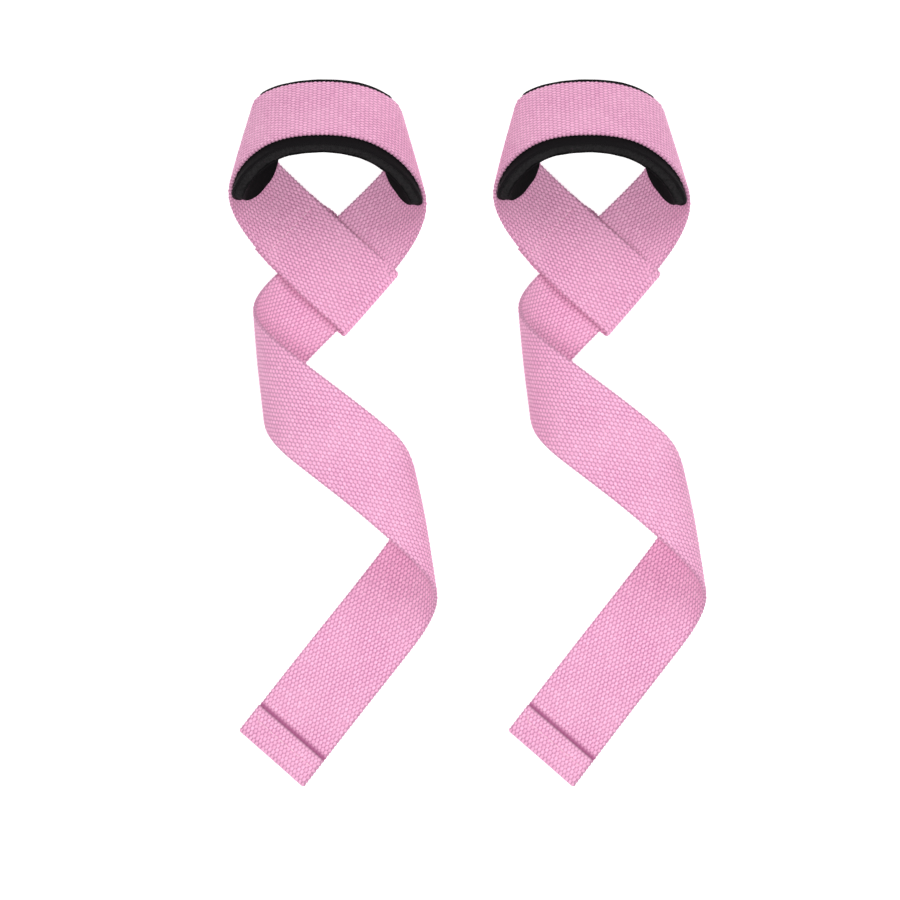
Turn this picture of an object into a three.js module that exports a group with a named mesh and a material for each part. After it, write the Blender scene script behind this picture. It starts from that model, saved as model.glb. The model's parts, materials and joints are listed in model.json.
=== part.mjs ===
// A pair of wrist lifting straps lying on a table.
// Each strap is one long webbing. Its sewn end is folded back into a flat sleeve, the rest makes a
// wrist loop, runs through the sleeve and coils once as a free tail with a turned hem.
// Webbing bends but doesn't stretch, so its surface is developed: straight rulings carried along
// a middle line that has a curvature and a ruling slant at each place.
import * as THREE from 'three';

// ---------- driving dimensions, millimetres and degrees ----------
const WEBBING_WIDTH = 38;
const WEBBING_THICKNESS = 1.9;
const GAP = 0.3; // kept between pieces that touch
const LAYER = WEBBING_THICKNESS + GAP; // height from one webbing layer to the next

const PAIR_SPACING = 118.3;
const ORIGIN = { x: -59.06, y: 76.76 }; // where the left strap crosses itself

// Wrist loop, from the middle of its arch to the crossing. At each distance `at` it has a curvature
// and the slant of its ruling, the straight line across the webbing.
const LOOP_SHAPE = [
  { at: 0, curvature: 1 / 80, slant: 0 },
  { at: 25, curvature: 1 / 32.4, slant: 2 },
  { at: 50, curvature: 1 / 24.4, slant: -29 },
  { at: 75, curvature: 1 / 47.5, slant: -29 },
  { at: 100, curvature: 1 / 97, slant: -50 },
  { at: 122, curvature: 0, slant: -45 },
];
const LOOP_LEAN = 0.13; // the arch leans to its left by this share of its height

// Tail, from the crossing on
const TAIL_SHAPE = [
  { at: 17, curvature: 0, slant: -46 },
  { at: 30, curvature: 1 / 35, slant: -46 },
  { at: 60, curvature: 1 / 37, slant: -43 },
  { at: 90, curvature: 1 / 43, slant: -40 },
  { at: 120, curvature: 1 / 112, slant: -28 },
  { at: 150, curvature: 1 / 140, slant: -38 },
  { at: 180, curvature: 1 / 28, slant: -51 },
  { at: 210, curvature: 1 / 31, slant: -41 },
  { at: 240, curvature: 1 / 226, slant: -24 },
  { at: 270, curvature: 0, slant: -22 },
];
const SECOND_CURL_FROM = 150;
const COIL_LENGTH = 240; // past this the tail lies almost flat
const TAIL_LENGTH = 319; // crossing to the folded end of the hem

// Real webbing isn't quite developable: along its length it is also pulled aside and turned a little
// in plan. The rows are evenly spaced, from the sleeve over the arch to the end of the tail.
const PULL = { from: -150, spacing: 60 };
const PULL_ROWS = [
  { x: 1.5, y: 1.5, turn: 6 },
  { x: 0, y: -1, turn: 4.5 },
  { x: -0.5, y: -2, turn: 0.5 },
  { x: 0, y: -1, turn: 0 },
  { x: 1, y: 0, turn: -2.5 },
  { x: 1, y: 0, turn: 3.5 },
  { x: 2, y: -1.5, turn: 9 },
  { x: 1, y: 0, turn: 8.5 },
  { x: -1.5, y: 0, turn: -0.5 },
  { x: -2.5, y: 1.5, turn: -4 },
  { x: -2.5, y: 3, turn: -5.5 },
];

const SLEEVE = {
  straight: 18.9,
  flapReach: 33,
  seamBack: 51,
  tailClear: 2,
  flapRise: 7,
  flapTuck: 2.3,
};
const TUCK_EASED = 0.7; // share of the tuck that is gone where the flap meets the arm
const FLAP_HEIGHT = WEBBING_THICKNESS / 2;
const TAIL_HEIGHT = FLAP_HEIGHT + LAYER;
const SLEEVE_TOP_HEIGHT = TAIL_HEIGHT + 3; // the sleeve lies loosely over the tail
const REST_HEIGHT = 1.5; // middle of the last flat run, with room for the thread below
const LAYERS_APART_FROM = 85; // the two arms have their own heights from here to the crossing
const HEM = { turned: 13, seamBack: 7 };

const PAD = {
  middleAt: 1.7,
  halfLength: 71.5,
  nearEdge: -24,
  farEdge: 23.5,
  cornerLength: 21,
  endWidthShare: 0.1,
};
const FILM = { thickness: 0.25, inset: 3.5 };
const JERSEY_THICKNESS = 0.6;
const PAD_GAP = 0.35; // between the pad layers, where their curves differ most
const FOAM_THICKNESS = 3;

const THREAD = { width: 0.9, height: 0.25, edgeMargin: 3 };
const STEP = 0.5; // walking step along the middle line

// Steps of the solids' grids
const STEPS = {
  across: 8,
  archAndSides: 44,
  arm: 4,
  straight: 3,
  fold: 8,
  flap: 5,
  coil: 52,
  lastRun: 5,
  padEnd: 8,
  padLength: 30,
  threadRow: 8,
};
const ARM_FROM = 90; // the loop's strongly curved part ends here
const NEWTON = { nudge: 1e-4, rounds: 12 };

const PINK = { color: 0xe7a5c7, roughness: 0.85, metalness: 0 };
const PINK_THREAD = { color: 0xefb4d2, roughness: 0.6, metalness: 0 };
const BLACK_JERSEY = { color: 0x1b191b, roughness: 0.75, metalness: 0 };
const BLACK_FOAM = { color: 0x2b2a2b, roughness: 0.95, metalness: 0 };
const CLEAR_FILM = { color: 0xb9b2a6, roughness: 0.4, metalness: 0 };

// ---------- small mathematics ----------
const radians = THREE.MathUtils.degToRad;
const smooth = (share) => THREE.MathUtils.smoothstep(share, 0, 1);
const halfWidth = WEBBING_WIDTH / 2;
const halfThickness = WEBBING_THICKNESS / 2;
const upward = new THREE.Vector3(0, 0, 1);

function shapeAt(shape, at) {
  const next = shape.findIndex((row) => row.at > at);
  if (next <= 0) return next === 0 ? shape[0] : shape.at(-1);
  const [low, high] = [shape[next - 1], shape[next]];
  const share = smooth((at - low.at) / (high.at - low.at));
  return {
    curvature: THREE.MathUtils.lerp(low.curvature, high.curvature, share),
    slant: THREE.MathUtils.lerp(low.slant, high.slant, share),
  };
}

// Walks the middle line and returns its frames. The inner face looks along `inward`.
function walk(shape, start, length) {
  const frames = [];
  const steps = Math.round(length / STEP);
  const step = length / steps;
  const centre = start.centre.clone();
  const along = start.along.clone();
  const inward = start.inward.clone();
  for (let i = 0; i <= steps; i += 1) {
    const across = new THREE.Vector3().crossVectors(along, inward);
    const lean = Math.tan(radians(shapeAt(shape, i * step).slant));
    frames.push({ centre: centre.clone(), along: along.clone(), inward: inward.clone(), across, lean });
    const middle = shapeAt(shape, (i + 0.5) * step);
    const twist = middle.curvature * Math.tan(radians(middle.slant));
    const turn = along.clone().multiplyScalar(twist).addScaledVector(across, middle.curvature);
    const angle = turn.length() * step;
    const before = along.clone();
    if (angle > 0) {
      turn.normalize();
      along.applyAxisAngle(turn, angle);
      inward.applyAxisAngle(turn, angle);
    }
    centre.addScaledVector(before.add(along), step / 2);
  }
  return frames;
}

// Solves a small square set of linear equations by elimination.
function solveLinear(matrix, right) {
  const rows = matrix.map((row, i) => [...row, right[i]]);
  const size = rows.length;
  for (let pivot = 0; pivot < size; pivot += 1) {
    const rest = rows.slice(pivot);
    const best = rest.reduce((a, b) => (Math.abs(b[pivot]) > Math.abs(a[pivot]) ? b : a));
    const bestAt = rows.indexOf(best);
    [rows[pivot], rows[bestAt]] = [rows[bestAt], rows[pivot]];
    rows.forEach((row, i) => {
      if (i === pivot) return;
      const share = row[pivot] / rows[pivot][pivot];
      rows[i] = row.map((value, k) => value - share * rows[pivot][k]);
    });
  }
  return rows.map((row, i) => row[size] / row[i]);
}

// Newton's method: adjusts the unknowns until every miss is zero.
function settle(guess, miss) {
  let unknowns = [...guess];
  for (let round = 0; round < NEWTON.rounds; round += 1) {
    const here = miss(unknowns);
    const columns = unknowns.map((value, k) => {
      const moved = [...unknowns];
      moved[k] = value + NEWTON.nudge;
      return miss(moved).map((m, i) => (m - here[i]) / NEWTON.nudge);
    });
    const matrix = here.map((_, i) => columns.map((column) => column[i]));
    const change = solveLinear(matrix, here);
    unknowns = unknowns.map((value, k) => value - change[k]);
  }
  return unknowns;
}

// ---------- the middle line ----------
function loopFrames([slantShare, halfLength]) {
  const shape = LOOP_SHAPE.map((row) => ({ ...row, slant: row.slant * slantShare }));
  const start = {
    centre: new THREE.Vector3(),
    along: new THREE.Vector3(1, 0, 0),
    inward: new THREE.Vector3(0, 0, -1),
  };
  const frames = walk(shape, start, halfLength);
  const end = frames.at(-1);
  const tip = Math.atan2(end.inward.y, end.inward.z);
  const axis = new THREE.Vector3(1, 0, 0);
  for (const frame of frames) {
    for (const vector of [frame.centre, frame.along, frame.inward, frame.across]) {
      vector.applyAxisAngle(axis, tip);
    }
  }
  return frames;
}

// The loop closes when its arm comes back to the mid-plane lying flat.
const loopMiss = (unknowns) => {
  const end = loopFrames(unknowns).at(-1);
  return [end.inward.x, end.centre.x];
};
const [slantShare, loopHalf] = settle([1, LOOP_SHAPE.at(-1).at], loopMiss);
const loopPath = loopFrames([slantShare, loopHalf]);
const crossing = loopPath.at(-1);
const crossingCentre = crossing.centre.clone();
loopPath.forEach((frame) => frame.centre.sub(crossingCentre));

function tailFrames([firstShare, secondShare, secondSlant]) {
  const shape = TAIL_SHAPE.map((row) => {
    const second = row.at > SECOND_CURL_FROM;
    return {
      at: row.at,
      curvature: row.curvature * (second ? secondShare : firstShare),
      slant: row.slant + (second ? secondSlant : 0),
    };
  });
  const start = {
    centre: new THREE.Vector3(),
    along: crossing.along,
    inward: new THREE.Vector3(0, 0, 1),
  };
  return walk(shape, start, TAIL_LENGTH + halfWidth * 2);
}

// The tail ends flat on the table.
const tailMiss = (unknowns) => {
  const end = tailFrames(unknowns).at(-1);
  return [end.inward.x, end.inward.y, end.centre.z - (REST_HEIGHT - TAIL_HEIGHT)];
};
const straightStart = { ...crossing, centre: new THREE.Vector3() };
const flatShape = [{ at: 0, curvature: 0, slant: LOOP_SHAPE.at(-1).slant * slantShare }];

// Both arms share the loop's half. The left one is its mirror image and runs on straight.
function joinPaths(...runs) {
  const joined = [];
  let offset = 0;
  for (const { frames, length, leaning } of runs) {
    frames.forEach((frame, i) => {
      const at = offset + (length * i) / (frames.length - 1);
      if (i > 0 || joined.length === 0) joined.push({ ...frame, at, shift: leaning * frame.centre.z });
    });
    offset += length;
  }
  return joined;
}

const loopRun = { frames: loopPath, length: loopHalf, leaning: LOOP_LEAN };
const tailWalk = TAIL_LENGTH + 2 * halfWidth;
const straightWalk = SLEEVE.straight + 2 * halfWidth;
const rightPath = joinPaths(loopRun, {
  frames: tailFrames(settle([1, 1, 0], tailMiss)),
  length: tailWalk,
  leaning: 0,
});
const leftPath = joinPaths(loopRun, {
  frames: walk(flatShape, straightStart, straightWalk),
  length: straightWalk,
  leaning: 0,
});

// ---------- the webbing's surface ----------
// `at` is the distance along the webbing from the middle of the arch: positive over the right arm
// and the tail, negative over the left arm. `side` is the distance across it, and `lift` is the
// distance above its middle layer, towards the inner face.
function onPath(at, side, lift) {
  const framePath = at < 0 ? leftPath : rightPath;
  const target = Math.abs(at);
  let low = 0;
  let high = framePath.length - 1;
  while (high - low > 1) {
    const middle = Math.floor((low + high) / 2);
    if (framePath[middle].at + side * framePath[middle].lean <= target) low = middle;
    else high = middle;
  }
  const [before, after] = [framePath[low], framePath[high]];
  const reachBefore = before.at + side * before.lean;
  const reachAfter = after.at + side * after.lean;
  const share = (target - reachBefore) / (reachAfter - reachBefore);
  const pointOn = (frame) => {
    const point = frame.centre.clone().addScaledVector(frame.across, side);
    point.addScaledVector(frame.along, side * frame.lean).addScaledVector(frame.inward, lift);
    if (at < 0) point.x *= -1;
    point.x -= frame.shift;
    return point;
  };
  return pointOn(before).lerp(pointOn(after), share);
}

const pullCurve = new THREE.CatmullRomCurve3(
  PULL_ROWS.map(({ x, y, turn }) => new THREE.Vector3(x, y, turn)),
  false,
  'catmullrom',
);

function surface(at, side, lift) {
  const pullShare = (at - PULL.from) / PULL.spacing / (PULL_ROWS.length - 1);
  const pull = pullCurve.getPoint(THREE.MathUtils.clamp(pullShare, 0, 1));
  const centre = onPath(at, 0, 0);
  const point = onPath(at, side, lift).sub(centre).applyAxisAngle(upward, radians(pull.z));
  point.add(centre).add(new THREE.Vector3(pull.x, pull.y, 0));
  const apart = smooth(Math.abs(at) / LAYERS_APART_FROM) * (at < 0 ? 1 : -1);
  const middleHeight = (SLEEVE_TOP_HEIGHT + TAIL_HEIGHT) / 2;
  point.z += middleHeight + (apart * (SLEEVE_TOP_HEIGHT - TAIL_HEIGHT)) / 2;
  return point;
}

// A fold turns the webbing back on itself at `at`, towards its inner face (turn 1) or away from it
// (turn -1). `along` is the distance along the webbing, counted away from the arch.
function foldedSurface(fold, along, side, lift) {
  const direction = fold.left ? -1 : 1;
  const past = along - fold.at;
  if (past <= 0) return surface(direction * along, side, lift);
  const arc = Math.PI * fold.radius;
  if (past >= arc) {
    const back = fold.at - (past - arc);
    const closed = fold.closed(back);
    const point = surface(direction * back, side + fold.tucked(back), fold.turn * LAYER - lift);
    point.z = THREE.MathUtils.lerp(fold.flatHeight + fold.turn * lift, point.z, closed);
    return point;
  }
  const angle = past / fold.radius;
  const start = surface(direction * fold.at, side, 0);
  const outward = start.clone().sub(surface(direction * (fold.at - 1), side, 0)).normalize();
  const up = surface(direction * fold.at, side, 1).sub(start);
  start.addScaledVector(outward, Math.sin(angle) * (fold.radius - fold.turn * lift));
  const rise = fold.turn * fold.radius * (1 - Math.cos(angle)) + lift * Math.cos(angle);
  return start.addScaledVector(up, rise);
}

const crossingAt = loopHalf;
const sleeveDepth = SLEEVE_TOP_HEIGHT - FLAP_HEIGHT;
const flapClosedFrom = crossingAt - halfWidth - SLEEVE.tailClear;
const sleeveFold = {
  left: true,
  at: crossingAt + SLEEVE.straight,
  turn: -1,
  radius: sleeveDepth / 2,
  flatHeight: FLAP_HEIGHT,
  // Under the tail the flap lies flat. Past it, it closes up to the sleeve's face.
  // Just past the tail's edge it stands aside a little, and stays hidden under the arm.
  tucked: (back) => {
    const aside = smooth((flapClosedFrom + 2 * SLEEVE.flapRise - back) / (2 * SLEEVE.flapRise));
    return SLEEVE.flapTuck * aside * (1 - TUCK_EASED * sleeveFold.closed(back));
  },
  closed: (back) => smooth((flapClosedFrom - back) / SLEEVE.flapRise),
};
const hemFold = {
  left: false,
  at: crossingAt + TAIL_LENGTH - LAYER / 2 - halfThickness,
  turn: 1,
  radius: LAYER / 2,
  flatHeight: REST_HEIGHT + LAYER,
  tucked: () => 0,
  closed: () => 1,
};

// ---------- closed solids from a grid of stations ----------
// `point(i, j, top)` gives a corner of the grid on the solid's upper or lower skin.
function gridSolid(columns, rows, point) {
  const positions = [];
  const faces = [];
  const indexOf = (i, j, top) => ((top ? 1 : 0) * columns + i) * rows + j;
  for (const top of [false, true]) {
    for (let i = 0; i < columns; i += 1) {
      for (let j = 0; j < rows; j += 1) positions.push(...point(i, j, top).toArray());
    }
  }
  const quad = (a, b, c, d) => faces.push(a, c, b, a, d, c);
  for (let i = 0; i < columns - 1; i += 1) {
    for (let j = 0; j < rows - 1; j += 1) {
      const [a, b, c, d] = [[i, j], [i + 1, j], [i + 1, j + 1], [i, j + 1]];
      quad(...[a, b, c, d].map((corner) => indexOf(...corner, true)));
      quad(...[d, c, b, a].map((corner) => indexOf(...corner, false)));
    }
  }
  const wall = (p, q) => {
    quad(indexOf(...p, false), indexOf(...q, false), indexOf(...q, true), indexOf(...p, true));
  };
  for (let i = 0; i < columns - 1; i += 1) {
    wall([i, 0], [i + 1, 0]);
    wall([i + 1, rows - 1], [i, rows - 1]);
  }
  for (let j = 0; j < rows - 1; j += 1) {
    wall([columns - 1, j], [columns - 1, j + 1]);
    wall([0, j + 1], [0, j]);
  }
  const geometry = new THREE.BufferGeometry();
  geometry.setAttribute('position', new THREE.Float32BufferAttribute(positions, 3));
  geometry.setIndex(faces);
  geometry.computeVertexNormals();
  return geometry;
}

// A layer of even thickness: `skin(at, side, lift)` over stations along and across.
function layer(stations, sides, low, high, skin) {
  const corner = (i, j, top) => skin(stations[i], sides[j], top ? high : low);
  return gridSolid(stations.length, sides.length, corner);
}

// Stations over runs of { to, steps }, from a start.
function stationsFrom(start, runs) {
  const stations = [start];
  for (const { to, steps } of runs) {
    const from = stations.at(-1);
    for (let i = 1; i <= steps; i += 1) stations.push(from + ((to - from) * i) / steps);
  }
  return stations;
}

const acrossWebbing = stationsFrom(-halfWidth, [{ to: halfWidth, steps: STEPS.across }]);

// ---------- the pieces ----------
function webbingLoop() {
  const arcEnd = sleeveFold.at + Math.PI * sleeveFold.radius;
  const flapEnd = arcEnd + SLEEVE.straight + SLEEVE.flapReach;
  const stations = stationsFrom(-(crossingAt - GAP / 2), [
    { to: -ARM_FROM, steps: STEPS.arm },
    { to: ARM_FROM, steps: STEPS.archAndSides },
    { to: crossingAt - halfWidth, steps: STEPS.straight },
    { to: sleeveFold.at, steps: STEPS.straight },
    { to: arcEnd, steps: STEPS.fold },
    { to: arcEnd + SLEEVE.straight + halfWidth + SLEEVE.tailClear, steps: STEPS.straight },
    { to: flapEnd, steps: STEPS.flap },
  ]);
  const skin = (along, side, lift) => foldedSurface(sleeveFold, along, side, lift);
  return layer(stations, acrossWebbing, halfThickness, -halfThickness, skin);
}

function webbingTail() {
  const arcEnd = hemFold.at + Math.PI * hemFold.radius;
  const stations = stationsFrom(crossingAt + GAP / 2, [
    { to: crossingAt + COIL_LENGTH, steps: STEPS.coil },
    { to: hemFold.at, steps: STEPS.lastRun },
    { to: arcEnd, steps: STEPS.fold },
    { to: arcEnd + HEM.turned, steps: STEPS.straight },
  ]);
  const skin = (along, side, lift) => foldedSurface(hemFold, along, side, lift);
  return layer(stations, acrossWebbing, -halfThickness, halfThickness, skin);
}

// One layer of the pad, with rounded ends. `inset` draws its outline in.
function padLayer(low, thickness, inset, across) {
  const length = PAD.halfLength - inset;
  const [near, far] = across;
  const stations = stationsFrom(-length, [
    { to: -(length - PAD.cornerLength), steps: STEPS.padEnd },
    { to: length - PAD.cornerLength, steps: STEPS.padLength },
    { to: length, steps: STEPS.padEnd },
  ]);
  const middle = (near + far) / 2;
  const halfAcross = (far - near) / 2 - inset;
  const widthShare = (at) => {
    const into = Math.max(0, Math.abs(at) - (length - PAD.cornerLength)) / PAD.cornerLength;
    return THREE.MathUtils.lerp(PAD.endWidthShare, 1, Math.sqrt(1 - into * into));
  };
  const sides = stationsFrom(-1, [{ to: 1, steps: STEPS.across }]);
  const skin = (at, share, lift) => {
    return surface(PAD.middleAt + at, middle + share * halfAcross * widthShare(at), lift);
  };
  return layer(stations, sides, low, low + thickness, skin);
}

// A row of stitches across the webbing, joined into one flat strand.
function threadRow(fold, at, low, high) {
  const reach = halfWidth - THREAD.edgeMargin;
  const sides = stationsFrom(-reach, [{ to: reach, steps: STEPS.threadRow }]);
  const stations = [at - THREAD.width / 2, at + THREAD.width / 2];
  const skin = (along, side, lift) => foldedSurface(fold, along, side, lift);
  return layer(stations, sides, low, high, skin);
}

const onFace = halfThickness + GAP;
const sleeveArc = Math.PI * sleeveFold.radius;
const sleeveEdge = sleeveFold.at + sleeveFold.radius + halfThickness;
const sleeveSeamAt = sleeveEdge - SLEEVE.seamBack;
const flapSeamAt = sleeveFold.at + sleeveArc + (sleeveFold.at - sleeveSeamAt);
const hemSeamBack = hemFold.at + Math.PI * hemFold.radius + HEM.seamBack;
const filmLow = halfThickness + PAD_GAP;
const outerLow = filmLow + FILM.thickness + PAD_GAP;
const foamLow = outerLow + JERSEY_THICKNESS + PAD_GAP;
const innerLow = foamLow + FOAM_THICKNESS + PAD_GAP;
const padWidth = [PAD.nearEdge, PAD.farEdge];
const acrossFilm = [-halfWidth, halfWidth];

const sleeveThread = (at) => threadRow(sleeveFold, at, onFace + THREAD.height, onFace);
const hemThread = (at) => threadRow(hemFold, at, -onFace - THREAD.height, -onFace);

const PIECES = [
  ['webbing_loop', PINK, webbingLoop],
  ['webbing_tail', PINK, webbingTail],
  ['pad_bond_film', CLEAR_FILM, () => padLayer(filmLow, FILM.thickness, FILM.inset, acrossFilm)],
  ['pad_outer_jersey', BLACK_JERSEY, () => padLayer(outerLow, JERSEY_THICKNESS, 0, padWidth)],
  ['pad_foam_core', BLACK_FOAM, () => padLayer(foamLow, FOAM_THICKNESS, 0, padWidth)],
  ['pad_inner_jersey', BLACK_JERSEY, () => padLayer(innerLow, JERSEY_THICKNESS, 0, padWidth)],
  ['sleeve_needle_thread', PINK_THREAD, () => sleeveThread(sleeveSeamAt)],
  ['sleeve_bobbin_thread', PINK_THREAD, () => sleeveThread(flapSeamAt)],
  ['hem_needle_thread', PINK_THREAD, () => hemThread(hemSeamBack)],
  ['hem_bobbin_thread', PINK_THREAD, () => hemThread(hemFold.at - HEM.seamBack)],
];

function strap(prefix, offset) {
  const group = new THREE.Group();
  group.position.set(ORIGIN.x + offset, ORIGIN.y, 0);
  for (const [name, finish, shape] of PIECES) {
    const mesh = new THREE.Mesh(shape(), new THREE.MeshStandardMaterial(finish));
    mesh.name = `${prefix}_${name}`;
    group.add(mesh);
  }
  return group;
}

const pair = new THREE.Group();
pair.add(strap('left', 0), strap('right', PAIR_SPACING));
export default pair;
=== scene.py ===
# A pair of pink cotton lifting straps with padded wrist loops, lying on a white table.
# The webbing's surface is the one the CAD model uses: straight rulings carried along a middle line.
# Lengths are millimetres until a mesh is made, and angles are degrees.
import json
import math

import bpy
import numpy as np
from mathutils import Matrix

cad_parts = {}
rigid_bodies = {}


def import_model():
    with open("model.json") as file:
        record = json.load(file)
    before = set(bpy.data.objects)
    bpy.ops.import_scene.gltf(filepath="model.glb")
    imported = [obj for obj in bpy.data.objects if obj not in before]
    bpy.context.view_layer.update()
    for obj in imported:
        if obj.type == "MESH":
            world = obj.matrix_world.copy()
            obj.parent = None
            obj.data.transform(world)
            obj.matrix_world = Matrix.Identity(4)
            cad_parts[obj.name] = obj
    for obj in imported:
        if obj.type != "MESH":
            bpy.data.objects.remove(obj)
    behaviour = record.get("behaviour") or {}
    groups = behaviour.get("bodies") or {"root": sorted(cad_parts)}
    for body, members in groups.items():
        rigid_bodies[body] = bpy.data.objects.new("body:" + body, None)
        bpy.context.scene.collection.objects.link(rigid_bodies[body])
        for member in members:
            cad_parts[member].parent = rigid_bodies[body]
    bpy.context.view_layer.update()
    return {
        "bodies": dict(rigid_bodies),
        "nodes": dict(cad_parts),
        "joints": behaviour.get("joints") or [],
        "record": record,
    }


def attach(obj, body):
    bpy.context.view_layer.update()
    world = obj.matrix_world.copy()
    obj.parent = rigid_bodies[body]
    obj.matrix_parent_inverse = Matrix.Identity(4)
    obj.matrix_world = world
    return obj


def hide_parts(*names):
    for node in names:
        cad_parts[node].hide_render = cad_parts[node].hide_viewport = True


METRES = 0.001

# ---------- the shape, as in the CAD model ----------
WEBBING_WIDTH = 38
WEBBING_THICKNESS = 1.9
GAP = 0.3  # kept between pieces that touch
LAYER = WEBBING_THICKNESS + GAP  # height from one webbing layer to the next
PAIR_SPACING = 118.3
ORIGIN = (-59.06, 76.76)  # where the left strap crosses itself

# LOOP_SHAPE, LOOP_LEAN, TAIL_SHAPE, TAIL_LENGTH and PULL weren't chosen by hand. They are rounded
# results of least-squares programs that fitted this surface to the outline and edges in the photo.
# Rows of (distance from the middle of the arch, curvature, slant of the ruling)
LOOP_SHAPE = (
    (0, 1 / 80, 0),
    (25, 1 / 32.4, 2),
    (50, 1 / 24.4, -29),
    (75, 1 / 47.5, -29),
    (100, 1 / 97, -50),
    (122, 0, -45),
)
LOOP_LEAN = 0.13  # the arch leans to its left by this share of its height
# Rows of (distance from the crossing, curvature, slant of the ruling)
TAIL_SHAPE = (
    (17, 0, -46),
    (30, 1 / 35, -46),
    (60, 1 / 37, -43),
    (90, 1 / 43, -40),
    (120, 1 / 112, -28),
    (150, 1 / 140, -38),
    (180, 1 / 28, -51),
    (210, 1 / 31, -41),
    (240, 1 / 226, -24),
    (270, 0, -22),
)
SECOND_CURL_FROM = 150
TAIL_LENGTH = 319  # from the crossing to the folded end of the hem
# Real webbing isn't quite developable: along its length it is also pulled aside and turned a little
# in plan. Rows of (x, y, turn), evenly spaced from the sleeve over the arch to the end of the tail.
PULL_FROM = -150
PULL_SPACING = 60
PULL = (
    (1.5, 1.5, 6),
    (0, -1, 4.5),
    (-0.5, -2, 0.5),
    (0, -1, 0),
    (1, 0, -2.5),
    (1, 0, 3.5),
    (2, -1.5, 9),
    (1, 0, 8.5),
    (-1.5, 0, -0.5),
    (-2.5, 1.5, -4),
    (-2.5, 3, -5.5),
)
SLEEVE = {
    "straight": 18.9,
    "flap_reach": 33,
    "seam_back": 51,
    "tail_clear": 2,
    "flap_rise": 7,
    "flap_tuck": 2.3,
}
TUCK_EASED = 0.7  # share of the tuck that is gone where the flap meets the arm
FLAP_HEIGHT = WEBBING_THICKNESS / 2
TAIL_HEIGHT = FLAP_HEIGHT + LAYER
SLEEVE_LOOSENESS = 3  # the sleeve lies loosely over the tail
SLEEVE_TOP_HEIGHT = TAIL_HEIGHT + SLEEVE_LOOSENESS
REST_HEIGHT = 1.5  # middle of the last flat run, with room for the thread below
LAYERS_APART_FROM = 85  # the two arms have their own heights from here to the crossing
HEM = {"turned": 13, "seam_back": 7}
PAD = {
    "middle_at": 1.7,
    "half_length": 71.5,
    "near": -24,
    "far": 23.5,
    "corner": 21,
    "end_width_share": 0.1,
}
WALKING_STEP = 0.5  # along the middle line
NEWTON_ROUNDS = 12
NEWTON_NUDGE = 1e-4

HALF_WIDTH = WEBBING_WIDTH / 2

# ---------- the weave ----------
WARP_PERIOD = 1.83  # across the webbing: two yarns
WEFT_PERIOD = 3.79  # along the webbing: one float over and one under
ROW_SHARE = 0.42  # of the weft rows in the pattern, besides the floats in brick order
WEAVE_HEIGHT = 0.2
CORE_THICKNESS = 1.62  # of the webbing between the hollows of the weave
BEAD_UNEVENNESS = 0.3
BEAD_TABLE = (64, 512)  # yarns across and floats along that have their own height
SAMPLES_PER_YARN = 2
SAMPLES_PER_FLOAT = 3
SELVEDGE_ROUNDING = 0.8
SELVEDGE_ANGLES = (0, 35, 62, 90)  # of the points round a selvedge
SCALLOP = {"depth": 0.26, "reach": 1.6}  # the selvedge goes in and out with the weft
SEAM_GROOVE = {"depth": 0.3, "width": 0.9}
WAVINESS = {"height": 0.16, "length": 38}
RAW_END = {"reach": 1.3, "weave": 0.35, "thickness": 0.8}  # shares that are left at a cut end
PAINTED_EDGE_SHADE = {"reach": 1.3, "between_scallops": 0.25}  # painted shade along all edges and cut ends, strongest where the selvedge goes in
GROOVE_AND_PAINTED_SHADOW = {"width": 2.4, "depth": 0.35, "edge": 0.6}  # a shallow groove by the hem's raw edge, with painted shadow in the cloth's colour there
LOWER_WEAVE_SHIFT = WEFT_PERIOD / 2


def smooth(share):
    """An even S-curve from 0 to 1."""
    share = np.clip(share, 0, 1)
    return share * share * (3 - 2 * share)


def lerp(a, b, share):
    """The value that lies a share of the way from a to b."""
    return a + (b - a) * share


def shape_at(shape, at):
    """The curvature and slant at one place of a shape's rows."""
    rows = np.array(shape)
    following = int(np.searchsorted(rows[:, 0], at, side="right"))
    if following == 0:
        return rows[0, 1:]
    if following == len(rows):
        return rows[-1, 1:]
    low, high = rows[following - 1], rows[following]
    return lerp(low, high, smooth((at - low[0]) / (high[0] - low[0])))[1:]


def rotated(vector, axis, angle):
    """The vector turned about a unit axis by an angle in radians."""
    cos, sin = math.cos(angle), math.sin(angle)
    return vector * cos + np.cross(axis, vector) * sin + axis * (axis @ vector) * (1 - cos)


def walk(shape, centre, along, inward, length):
    """Frames along a middle line: its points, directions and the leans of its rulings."""
    steps = round(length / WALKING_STEP)
    step = length / steps
    frames = []
    for i in range(steps + 1):
        across = np.cross(along, inward)
        lean = math.tan(math.radians(shape_at(shape, i * step)[1]))
        frames.append((centre, along, inward, across, lean))
        curvature, slant = shape_at(shape, (i + 0.5) * step)
        turn = along * (curvature * math.tan(math.radians(slant))) + across * curvature
        size = np.linalg.norm(turn)
        before = along
        if size > 0:
            along = rotated(along, turn / size, size * step)
            inward = rotated(inward, turn / size, size * step)
        centre = centre + (before + along) * step / 2
    return frames


def settle(guess, miss):
    """Newton's method: the unknowns that make every miss zero."""
    unknowns = np.array(guess, float)
    for _ in range(NEWTON_ROUNDS):
        here = miss(unknowns)
        columns = []
        for k in range(len(unknowns)):
            moved = unknowns.copy()
            moved[k] += NEWTON_NUDGE
            columns.append((miss(moved) - here) / NEWTON_NUDGE)
        unknowns = unknowns - np.linalg.solve(np.array(columns).T, here)
    return unknowns


X_AXIS = np.array((1.0, 0.0, 0.0))
Z_AXIS = np.array((0.0, 0.0, 1.0))


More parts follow.
